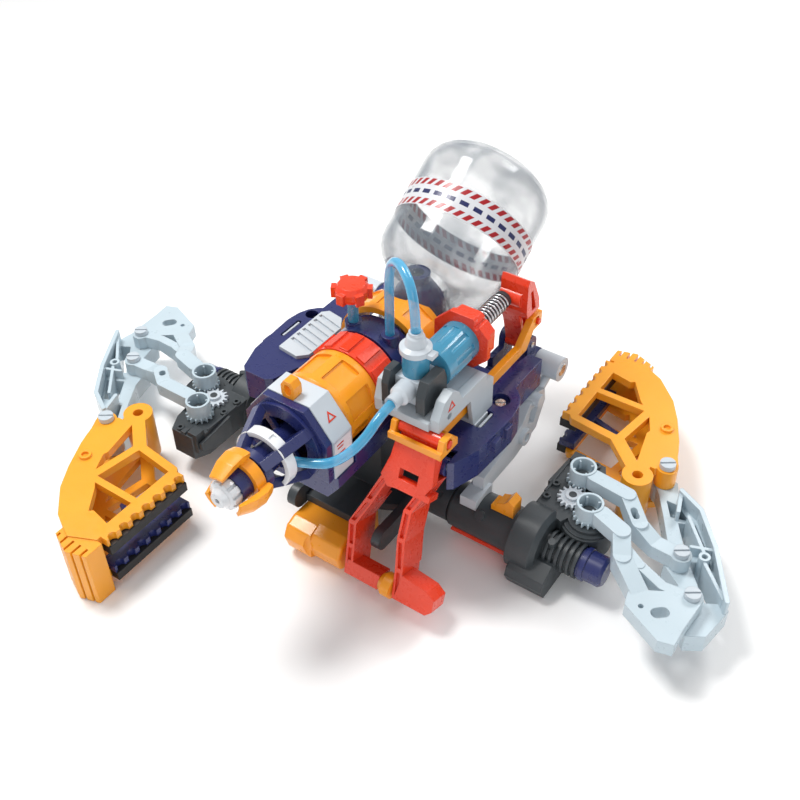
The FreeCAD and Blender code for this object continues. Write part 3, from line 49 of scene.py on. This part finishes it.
X_AXIS, Y_AXIS, Z_AXIS = Vector((1, 0, 0)), Vector((0, 1, 0)), Vector((0, 0, 1))
FLOOR_HALF = 6.0
FLOOR_Z = -0.0004
TANK_TILT = 32
TANK_CENTRE = (0, 72, 38)
TANK_RADIUS = 45.0
LABEL_HALF = 10.0
DASH_PITCH = 6.43
MARK_PITCH = 9.4
TUBE_AXIS_Z = -96
HOSE_RADIUS = 0.0029
PRINT_LIFT = 0.03
PRINT_TOP = 0.16


def at(x, y, z):
    """Point in the row frame, metres; x, y, z are millimetres from the barrel axis."""
    return AXIS + Vector((x, y, z)) / 1000


# ---- camera, floor and light -----------------------------------------------------------------------
def aim(obj, target, roll=0.0):
    direction = Vector(target) - obj.location
    turn = direction.to_track_quat("-Z", "Y").to_matrix()
    obj.rotation_euler = (turn @ Matrix.Rotation(roll, 3, "Z")).to_euler()


def add_camera():
    data = bpy.data.cameras.new("camera")
    data.lens = 47.25
    camera = bpy.data.objects.new("camera", data)
    bpy.context.collection.objects.link(camera)
    camera.location = at(304.6, -428.7, 409.4)
    aim(camera, at(0, 0, -52.6), math.radians(-1.1))
    bpy.context.scene.camera = camera


def add_area(name, where, target, size, power, colour=(1, 1, 1)):
    data = bpy.data.lights.new(name, "AREA")
    data.shape = "DISK"
    data.size = size
    data.energy = power
    data.color = colour
    lamp = bpy.data.objects.new(name, data)
    bpy.context.collection.objects.link(lamp)
    lamp.location = where
    aim(lamp, target)


def add_studio():
    world = bpy.data.worlds.new("studio")
    bpy.context.scene.world = world
    world.use_nodes = True
    background = world.node_tree.nodes["Background"]
    background.inputs["Color"].default_value = (1.0, 1.0, 1.0, 1)
    background.inputs["Strength"].default_value = 0.55
    centre = at(0, 0, -40)
    add_area("key", (-0.50, -0.10, 1.25), centre, 0.45, 13.0, (1.0, 0.99, 0.97))
    add_area("fill", (1.0, -0.9, 0.6), centre, 0.9, 3.0, (0.96, 0.98, 1.0))
    add_area("rim", (0.25, 1.0, 0.9), centre, 0.5, 6.0)
    mesh = bpy.data.meshes.new("floor")
    corners = [(x * FLOOR_HALF, y * FLOOR_HALF, FLOOR_Z) for x, y in ((-1, -1), (1, -1), (1, 1), (-1, 1))]
    mesh.from_pydata(corners, [], [(0, 1, 2, 3)])
    floor = bpy.data.objects.new("floor", mesh)
    bpy.context.collection.objects.link(floor)
    material = bpy.data.materials.new("floor")
    material.use_nodes = True
    shader = material.node_tree.nodes["Principled BSDF"]
    shader.inputs["Base Color"].default_value = (0.97, 0.97, 0.97, 1)
    shader.inputs["Roughness"].default_value = 0.7
    mesh.materials.append(material)
    bpy.context.scene.view_settings.view_transform = "Standard"


# ---- materials ----------------------------------------------------------------------------------------
class Nodes:
    """Small wrapper that adds and links shader nodes."""

    def __init__(self, name):
        self.material = bpy.data.materials.new(name)
        self.material.use_nodes = True
        self.tree = self.material.node_tree
        self.shader = self.tree.nodes["Principled BSDF"]
        self.output = self.tree.nodes["Material Output"]

    def add(self, kind, **values):
        node = self.tree.nodes.new(kind)
        for key, value in values.items():
            if hasattr(node, key) and key not in node.inputs:
                setattr(node, key, value)
            else:
                node.inputs[key].default_value = value
        return node

    def link(self, a, b):
        self.tree.links.new(a, b)

    def noise(self, scale, detail=4.0, rough=0.55):
        node = self.add("ShaderNodeTexNoise", Scale=scale, Detail=detail, Roughness=rough)
        self.link(self.coords().outputs["Object"], node.inputs["Vector"])
        return node.outputs["Fac"]

    def coords(self):
        found = [n for n in self.tree.nodes if n.bl_idname == "ShaderNodeTexCoord"]
        return found[0] if found else self.add("ShaderNodeTexCoord")

    def remap(self, value, low, high, from_low=0.3, from_high=0.7):
        node = self.add("ShaderNodeMapRange")
        node.inputs["From Min"].default_value = from_low
        node.inputs["From Max"].default_value = from_high
        node.inputs["To Min"].default_value = low
        node.inputs["To Max"].default_value = high
        self.link(value, node.inputs["Value"])
        return node.outputs["Result"]

    def mix(self, fac, a, b):
        node = self.add("ShaderNodeMix", data_type="RGBA")
        self.link(fac, node.inputs["Factor"])
        for socket, value in ((node.inputs[6], a), (node.inputs[7], b)):
            if isinstance(value, (tuple, list)):
                socket.default_value = (*value[:3], 1)
            else:
                self.link(value, socket)
        return node.outputs[2]

    def math(self, operation, a, b=0.0):
        node = self.add("ShaderNodeMath", operation=operation)
        for socket, value in ((node.inputs[0], a), (node.inputs[1], b)):
            if isinstance(value, (int, float)):
                socket.default_value = value
            else:
                self.link(value, socket)
        return node.outputs[0]


def shade(colour, factor):
    return tuple(min(1.0, c * factor) for c in colour[:3])


def plastic(name, colour, rough=0.3, grain=900.0, grain_depth=0.00002, edge=0.0007, coat=0.15, mottle=0.03,
            subsurface=0.0):
    """Moulded plastic: soft colour drift, fine mould grain and rounded edges that catch the light."""
    n = Nodes(name)
    drift = n.noise(28.0, 2.0)
    speck = n.noise(1500.0, 2.0)
    base = n.mix(n.remap(drift, 0.0, 1.0), shade(colour, 1 - mottle), shade(colour, 1 + mottle))
    base = n.mix(n.remap(speck, 0.0, 0.06, 0.5, 0.8), base, shade(colour, 1.25))
    n.link(base, n.shader.inputs["Base Color"])
    n.link(n.remap(n.noise(180.0, 4.0), rough - 0.04, rough + 0.07), n.shader.inputs["Roughness"])
    bevel = n.add("ShaderNodeBevel", samples=6)
    bevel.inputs["Radius"].default_value = edge
    bump = n.add("ShaderNodeBump", Distance=grain_depth, Strength=0.5)
    n.link(n.noise(grain, 2.0), bump.inputs["Height"])
    n.link(bevel.outputs["Normal"], bump.inputs["Normal"])
    n.link(bump.outputs["Normal"], n.shader.inputs["Normal"])
    n.shader.inputs["Coat Weight"].default_value = coat
    n.shader.inputs["Coat Roughness"].default_value = 0.1
    if subsurface:
        n.shader.inputs["Subsurface Weight"].default_value = subsurface
        n.shader.inputs["Subsurface Radius"].default_value = (0.004, 0.002, 0.001)
        n.shader.inputs["Subsurface Scale"].default_value = 0.5
    return n.material


def metal(name, colour, rough=0.3):
    n = Nodes(name)
    streak = n.add("ShaderNodeTexNoise", Scale=1.0, Detail=3.0)
    stretch = n.add("ShaderNodeMapping")
    stretch.inputs["Scale"].default_value = (2400, 300, 2400)
    n.link(n.coords().outputs["Object"], stretch.inputs["Vector"])
    n.link(stretch.outputs["Vector"], streak.inputs["Vector"])
    n.link(n.mix(n.noise(120.0), shade(colour, 0.85), shade(colour, 1.1)), n.shader.inputs["Base Color"])
    n.link(n.remap(streak.outputs["Fac"], rough - 0.08, rough + 0.1), n.shader.inputs["Roughness"])
    n.shader.inputs["Metallic"].default_value = 1.0
    bevel = n.add("ShaderNodeBevel", samples=4)
    bevel.inputs["Radius"].default_value = 0.0003
    bump = n.add("ShaderNodeBump", Distance=0.00001, Strength=0.5)
    n.link(streak.outputs["Fac"], bump.inputs["Height"])
    n.link(bevel.outputs["Normal"], bump.inputs["Normal"])
    n.link(bump.outputs["Normal"], n.shader.inputs["Normal"])
    return n.material


def clear(name, tint, body, edge_body, rough=0.04, haze=0.0):
    """Clear moulding: see-through face on, denser at grazing angles."""
    n = Nodes(name)
    n.shader.inputs["Base Color"].default_value = (*tint, 1)
    n.shader.inputs["Roughness"].default_value = rough
    n.shader.inputs["Specular IOR Level"].default_value = 0.7
    n.shader.inputs["Coat Weight"].default_value = 0.5
    n.shader.inputs["Coat Roughness"].default_value = 0.03
    layer = n.add("ShaderNodeLayerWeight", Blend=0.35)
    cloud = n.remap(n.noise(60.0, 4.0), -haze, haze)
    cover = n.math("ADD", n.remap(layer.outputs["Facing"], body, edge_body, 0.0, 1.0), cloud)
    n.link(cover, n.shader.inputs["Alpha"])
    bump = n.add("ShaderNodeBump", Distance=0.0002, Strength=0.25)
    n.link(n.noise(45.0, 2.0), bump.inputs["Height"])
    n.link(bump.outputs["Normal"], n.shader.inputs["Normal"])
    return n.material


def bottle_clear(name):
    """Clear blow-moulded bottle: thin face on, denser at grazing angles, with soft grey bands from a large
    noise. The grey, densest at the rims, is painted shade and reflection in place of what the clear plastic
    refracts and reflects.
    """
    n = Nodes(name)
    layer = n.add("ShaderNodeLayerWeight", Blend=0.5)
    wave = n.add("ShaderNodeTexNoise", Scale=24.0, Detail=1.5, Distortion=1.2)
    n.link(n.coords().outputs["Object"], wave.inputs["Vector"])
    # Soft bands of a large noise that shift the painted grey and how dense it is.
    band = n.remap(wave.outputs["Fac"], 0.0, 1.0, 0.42, 0.62)
    # Darker rims: the facing weight thickens the painted grey towards grazing angles, a painted reflection
    # along the bottle's edges.
    rim = n.remap(layer.outputs["Facing"], 0.0, 1.0, 0.45, 1.0)
    # Painted shade: the clear plastic is coloured in two greys, mixed by the noise bands.
    n.link(n.mix(band, (0.34, 0.38, 0.42), (0.22, 0.26, 0.30)), n.shader.inputs["Base Color"])
    cover = n.math("ADD", n.remap(rim, 0.10, 0.74, 0.0, 1.0), n.math("MULTIPLY", band, 0.22))
    n.link(cover, n.shader.inputs["Alpha"])
    n.link(n.remap(n.noise(70.0), 0.03, 0.09), n.shader.inputs["Roughness"])
    n.shader.inputs["Specular IOR Level"].default_value = 0.8
    n.shader.inputs["Coat Weight"].default_value = 0.6
    n.shader.inputs["Coat Roughness"].default_value = 0.02
    bump = n.add("ShaderNodeBump", Distance=0.0016, Strength=0.5)
    n.link(wave.outputs["Fac"], bump.inputs["Height"])
    n.link(bump.outputs["Normal"], n.shader.inputs["Normal"])
    return n.material


NAVY = (0.017, 0.024, 0.120)
AMBER = (0.90, 0.33, 0.010)
RED = (0.80, 0.050, 0.014)
LIGHT = (0.55, 0.60, 0.65)
PALE = (0.49, 0.59, 0.65)
MID = (0.46, 0.51, 0.55)
DARK = (0.040, 0.048, 0.054)

MATERIALS = {
    "navy": plastic("navy_gloss", NAVY, rough=0.28, coat=0.25),
    "amber": plastic("amber_gloss", AMBER, rough=0.30, subsurface=0.12, coat=0.2),
    "claw": plastic("claw_amber", (0.90, 0.365, 0.017), rough=0.32, subsurface=0.12),
    "red": plastic("red_gloss", RED, rough=0.27, coat=0.2, subsurface=0.05),
    "light": plastic("light_grey", LIGHT, rough=0.40),
    "pale": plastic("pale_blue_grey", PALE, rough=0.30, coat=0.25),
    "mid": plastic("mid_grey", MID, rough=0.42, coat=0.05),
    "dark": plastic("dark_grey", DARK, rough=0.42, grain=1400, grain_depth=0.00006, coat=0.0),
    "white": plastic("white_gloss", (0.80, 0.82, 0.85), rough=0.3),
    "rubber": plastic("black_rubber", (0.012, 0.012, 0.013), rough=0.55, grain=1800, grain_depth=0.00008,
                      coat=0.0),
    "silver": plastic("silver_plastic", (0.66, 0.68, 0.71), rough=0.25, coat=0.4),
    "steel": metal("zinc_steel", (0.62, 0.63, 0.65), 0.28),
    "screw": plastic("screw_grey", (0.50, 0.56, 0.61), rough=0.3),
    "tank": bottle_clear("clear_bottle"),
    "frosted": clear("frosted_neck", (0.86, 0.88, 0.90), 0.55, 0.9, 0.25, 0.06),
    "blue_clear": clear("clear_blue", (0.08, 0.40, 0.62), 0.45, 0.95, 0.06, 0.05),
    "hose": clear("hose_blue", (0.07, 0.45, 0.74), 0.55, 0.95, 0.12, 0.05),
}

FINISH = {
    "navy": ["body_shell", "body_base", "nozzle_cage", "tank_intake", "cylinder_cap", "claw_bar"],
    "amber": ["barrel_drum", "fender", "nozzle_petals", "front_sight", "link_rod", "trigger_roller",
              "hand_grip", "tube_clips"],
    "claw": ["claw_frame"],
    "red": ["drum_ring", "filler_cap", "pump_collar", "rear_lever", "trigger_frame"],
    "light": ["saddle_band", "side_grille", "valve_cap", "valve_cross", "side_arms", "idler_gear"],
    "pale": ["drive_link", "follower_link", "elbow_truss"],
    "screw": ["arm_screws"],
    "mid": ["pump_mount"],
    "dark": ["clamp_pads", "pump_piston", "chassis", "arm_tube", "arm_piston", "gearbox"],
    "rubber": ["claw_pads"],
    "white": ["cage_hoop"],
    "silver": ["nozzle_tip"],
    "steel": ["return_spring", "body_fasteners"],
    "tank": ["water_tank"],
    "frosted": ["tank_neck"],
    "blue_clear": ["valve_tubes", "pump_cylinder"],
    "hose": ["hose_long", "hose_loop"],
}


def finish_cad_nodes():
    for finish, names in FINISH.items():
        for node_name, obj in nodes.items():
            stem = node_name.replace("_right", "").replace("_left", "")
            if stem in names:
                obj.data.materials.clear()
                obj.data.materials.append(MATERIALS[finish])


# ---- pieces --------------------------------------------------------------------------------------------
def new_piece(name, verts, faces, body, finish, smooth=False):
    """Mesh object from points in the row frame, riding on a body."""
    mesh = bpy.data.meshes.new(name)
    mesh.from_pydata([tuple(v) for v in verts], [], faces)
    mesh.materials.append(MATERIALS[finish] if isinstance(finish, str) else finish)
    work = bmesh.new()
    work.from_mesh(mesh)
    bmesh.ops.recalc_face_normals(work, faces=work.faces)
    for face in work.faces:
        face.smooth = smooth
    work.to_mesh(mesh)
    work.free()
    piece = bpy.data.objects.new(name, mesh)
    bpy.context.collection.objects.link(piece)
    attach(piece, body)
    return piece


def box_piece(name, low, high, body, finish):
    """Small rounded box between two corners, millimetres from the barrel axis."""
    (x0, y0, z0), (x1, y1, z1) = low, high
    verts = [at(x, y, z) for x in (x0, x1) for y in (y0, y1) for z in (z0, z1)]
    faces = [(0, 1, 3, 2), (4, 6, 7, 5), (0, 4, 5, 1), (2, 3, 7, 6), (0, 2, 6, 4), (1, 5, 7, 3)]
    piece = new_piece(name, verts, faces, body, finish)
    soften(piece, 0.0003)
    return piece


def soften(piece, width):
    bevel = piece.modifiers.new("edge", "BEVEL")
    bevel.width = width
    bevel.segments = 2
    bevel.limit_method = "ANGLE"


def sector(name, centre, along, start, r0, r1, half, first, last, steps, body, finish, uv=False):
    """Curved strip about an axis: radii r0..r1, +-half along it, first to last degrees. UV in millimetres."""
    side = along.cross(start).normalized()
    verts, faces, coords = [], [], []
    closed = abs(last - first) >= 360
    count = steps if closed else steps + 1
    for i in range(count):
        angle = math.radians(first + (last - first) * i / steps)
        out = start * math.cos(angle) + side * math.sin(angle)
        for radius, shift in ((r1, -half), (r1, half), (r0, half), (r0, -half)):
            verts.append(centre + (out * radius + along * shift) / 1000)
            coords.append((math.radians(first + (last - first) * i / steps) * r1, shift))
    for i in range(steps):
        a, b = 4 * i, 4 * ((i + 1) % count)
        for k in range(4):
            faces.append((a + k, b + k, b + (k + 1) % 4, a + (k + 1) % 4))
    if not closed:
        faces += [(0, 1, 2, 3), (4 * steps, 4 * steps + 1, 4 * steps + 2, 4 * steps + 3)]
    piece = new_piece(name, verts, faces, body, finish, smooth=False)
    if uv:
        layer = piece.data.uv_layers.new(name="strip")
        turn = math.radians(last - first) * r1
        for polygon in piece.data.polygons:
            us = [coords[piece.data.loops[i].vertex_index][0] for i in polygon.loop_indices]
            wraps = max(us) - min(us) > turn / 2
            for i, u in zip(polygon.loop_indices, us):
                v = coords[piece.data.loops[i].vertex_index][1]
                layer.data[i].uv = (u + turn if wraps and u < turn / 2 else u, v)
    return piece


def printed_band():
    """Printed label: white film with two rows of slanted red dashes and a middle row of plain navy marks."""
    n = Nodes("label_film")
    uv = n.add("ShaderNodeUVMap", uv_map="strip")
    split = n.add("ShaderNodeSeparateXYZ")
    n.link(uv.outputs["UV"], split.inputs["Vector"])
    u, v = split.outputs["X"], split.outputs["Y"]
    along = n.math("ADD", u, n.math("MULTIPLY", v, -0.75))
    slant = n.math("SINE", n.math("MULTIPLY", along, 2 * math.pi / DASH_PITCH))
    hatch = n.math("GREATER_THAN", slant, -0.2)
    height = n.math("ABSOLUTE", v)
    rows = n.math("MULTIPLY", n.math("GREATER_THAN", height, 4.9), n.math("LESS_THAN", height, 9.4))
    dash = n.math("GREATER_THAN", n.math("SINE", n.math("MULTIPLY", u, 2 * math.pi / MARK_PITCH)), -0.4)
    middle = n.math("MULTIPLY", dash, n.math("LESS_THAN", height, 1.5))
    paper = n.mix(n.remap(n.noise(60.0), 0.0, 1.0), (0.58, 0.59, 0.62), (0.64, 0.65, 0.68))
    red = n.mix(n.remap(n.noise(200.0), 0.0, 1.0), (0.30, 0.003, 0.008), (0.35, 0.005, 0.011))
    colour = n.mix(n.math("MULTIPLY", hatch, rows), paper, red)
    colour = n.mix(middle, colour, (0.01, 0.015, 0.09))
    n.link(colour, n.shader.inputs["Base Color"])
    n.link(n.remap(n.noise(120.0), 0.25, 0.4), n.shader.inputs["Roughness"])
    bump = n.add("ShaderNodeBump", Distance=0.0001, Strength=0.3)
    n.link(n.noise(90.0), bump.inputs["Height"])
    n.link(bump.outputs["Normal"], n.shader.inputs["Normal"])
    return n.material


def flat_shape(name, centre, right, up, outline, hole, body, finish):
    """Thin printed shape on a flat face; the optional hole has as many points as the outline."""
    normal = right.cross(up).normalized()
    verts, faces = [], []

    def place(points, lift):
        return [centre + (right * x + up * z + normal * lift) / 1000 for x, z in points]

    count = len(outline)
    if hole:
        verts = place(outline, PRINT_LIFT) + place(outline, PRINT_TOP)
        verts += place(hole, PRINT_TOP) + place(hole, PRINT_LIFT)
        for ring in range(4):
            for i in range(count):
                j = (i + 1) % count
                a, b = ring * count, ((ring + 1) % 4) * count
                faces.append((a + i, a + j, b + j, b + i))
    else:
        verts = place(outline, PRINT_LIFT) + place(outline, PRINT_TOP)
        faces = [tuple(range(count))[::-1], tuple(range(count, 2 * count))]
        faces += [(i, (i + 1) % count, count + (i + 1) % count, count + i) for i in range(count)]
    return new_piece(name, verts, faces, body, finish)


def triangle_mark(name, centre, right, up, size):
    def ring(r):
        return [(r * math.cos(math.radians(a)), r * math.sin(math.radians(a))) for a in (90, 210, 330)]

    flat_shape(name, centre, right, up, ring(size), ring(size * 0.56), "body", "red")


def rectangle(half_width, low, high):
    return [(-half_width, low), (half_width, low), (half_width, high), (-half_width, high)]


def add_labels():
    tilt = math.radians(TANK_TILT)
    along = Vector((0, math.cos(tilt), math.sin(tilt)))
    sector("tank_label", at(*TANK_CENTRE) + along * 0.003, along, X_AXIS, TANK_RADIUS + 0.06,
           TANK_RADIUS + 0.3, LABEL_HALF, 0, 360, 120, "body", printed_band(), uv=True)
    facet_up = Vector((-15, 0, 19.5)).normalized()
    triangle_mark("band_mark", at(22.5, -98.5, 17.75), Y_AXIS, facet_up, 4.1)
    flat_shape("band_label", at(30, -98.5, -2), Y_AXIS, Z_AXIS, rectangle(7.6, -8, 8.5), None,
               "body", "white")
    for index, (y, z, length) in enumerate(((-101, 3.5, 6), (-101, 1, 5), (-100.5, -3.2, 7))):
        flat_shape("band_line_%d" % index, at(30.16, y, z), Y_AXIS, Z_AXIS,
                   rectangle(length / 2, -0.45, 0.45), None, "body", "red")
    triangle_mark("mount_mark", at(72, -51.0, 15.2), Y_AXIS, Z_AXIS, 4.5)


def add_details():
    for index, x in enumerate((71.4, 75.0)):
        box_piece("wing_vent_bar_%d" % index, (x, -25.5, -24.0), (x + 1.6, -10.5, -18.7),
                  "body", "light")
    box_piece("wing_slit_bar", (-80.7, -20.5, -22.0), (-79.3, -3.5, -18.8), "body", "light")
    for side, name, y in ((1, "right", -22), (-1, "left", -18)):
        sector("tube_strip_" + name, at(side * 85, y, TUBE_AXIS_Z), X_AXIS * side, Y_AXIS * -side,
               15.6, 18.0, 21.0, 38, 80, 12, "body", "red")


def hose(name, node, points):
    """Soft tube on its route, a smooth spline through listed control points."""
    curve = bpy.data.curves.new(name, "CURVE")
    curve.dimensions = "3D"
    curve.bevel_depth = HOSE_RADIUS
    curve.bevel_resolution = 5
    curve.resolution_u = 16
    curve.use_fill_caps = True
    spline = curve.splines.new("NURBS")
    spline.points.add(len(points) - 1)
    for point, place in zip(spline.points, points):
        point.co = (*at(*place), 1)
    spline.order_u = 3
    spline.use_endpoint_u = True
    curve.materials.append(MATERIALS["hose"])
    piece = bpy.data.objects.new(name, curve)
    bpy.context.collection.objects.link(piece)
    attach(piece, "body")
    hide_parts(node)


LONG_ROUTE = [(47, -70.1, 22), (47, -84, 22), (45.5, -100, 11.5), (36, -114, 1.5), (23, -119.8, -1),
              (10.5, -124.5, -1.5)]
LOOP_ROUTE = [(47, -50, 53), (47, -50, 78.5), (30.25, -39, 90.1), (14.5, -28.7, 78.5), (13.5, -28, 46),
              (13.5, -28, 18)]

add_camera()
add_studio()
hose("hose_long_soft", "hose_long", LONG_ROUTE)
hose("hose_loop_soft", "hose_loop", LOOP_ROUTE)
finish_cad_nodes()
add_labels()
add_details()
